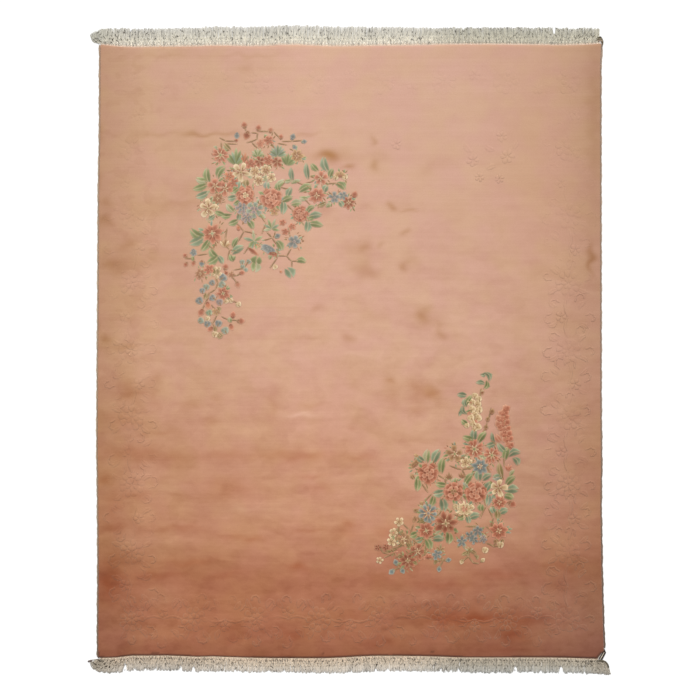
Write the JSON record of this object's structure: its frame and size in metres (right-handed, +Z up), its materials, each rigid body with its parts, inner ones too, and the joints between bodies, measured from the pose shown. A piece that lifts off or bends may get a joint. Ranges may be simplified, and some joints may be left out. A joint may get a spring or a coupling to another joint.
{
  "type": "aubusson rug",
  "caption": "Flat room-size wool pile rug with uneven corded sides, woven end strips and a knotted cotton fringe fanning out at the corners.",
  "frame": {"origin": "middle of the pile on the underside, where the rug rests", "axes": "+X across the width, +Y along the length towards the lighter end, +Z up out of the pile"},
  "size_m": [2.5816, 3.2105, 0.014],
  "materials": {
    "wool_pile": "cut wool pile, matt with a soft sheen",
    "overcast_cord": "wool wrapped over the side warps",
    "cotton_web": "plain-woven undyed cotton",
    "cotton_fringe": "knotted undyed cotton warps, a little soiled"
  },
  "bodies": {
    "root": {"pile_field": "wool_pile", "left_side_cord": "overcast_cord", "right_side_cord": "overcast_cord", "top_end_web": "cotton_web", "bottom_end_web": "cotton_web", "top_fringe": "cotton_fringe", "bottom_fringe": "cotton_fringe"}
  },
  "joints": []
}
